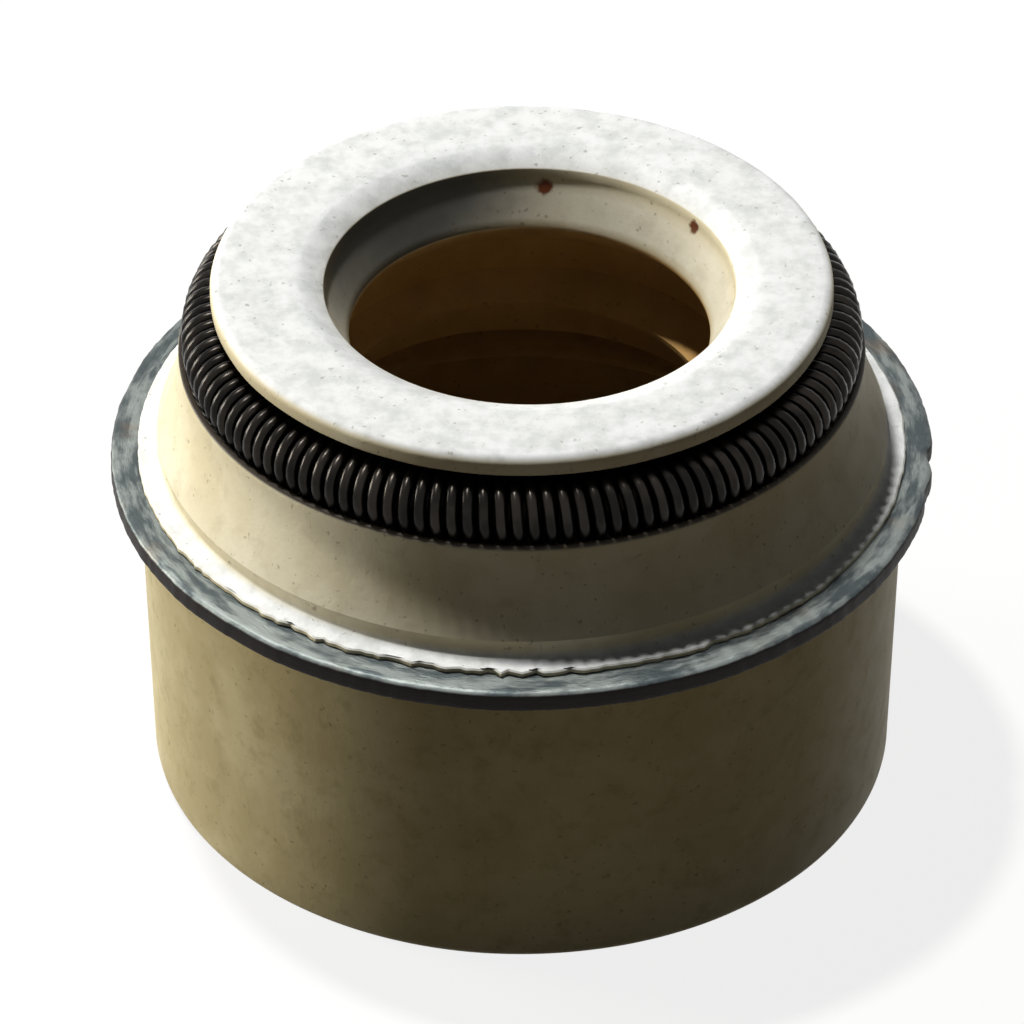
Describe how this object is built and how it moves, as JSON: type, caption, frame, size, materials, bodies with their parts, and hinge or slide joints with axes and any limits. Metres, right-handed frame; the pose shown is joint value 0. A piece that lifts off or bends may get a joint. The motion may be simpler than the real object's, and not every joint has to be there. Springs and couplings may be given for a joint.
{
  "type": "valve stem seal",
  "caption": "Moulded elastomer valve stem seal with a lipped collar, a garter spring in its groove and a steel ring whose flange edge stands out of the skirt.",
  "frame": {"origin": "centre of the bottom face, on the axis", "axes": "+Z along the axis from the guide end to the lip end; X and Y are free, because the part is turned about Z"},
  "size_m": [0.017, 0.017, 0.0116],
  "materials": {
    "elastomer": "satin moulded elastomer, beige to olive",
    "bare_steel": "sheared and worn bare steel, grey",
    "spring_steel": "dark oiled spring wire"
  },
  "bodies": {
    "root": {"seal_body": "elastomer", "reinforcing_ring": "bare_steel", "garter_spring": "spring_steel"}
  },
  "joints": []
}
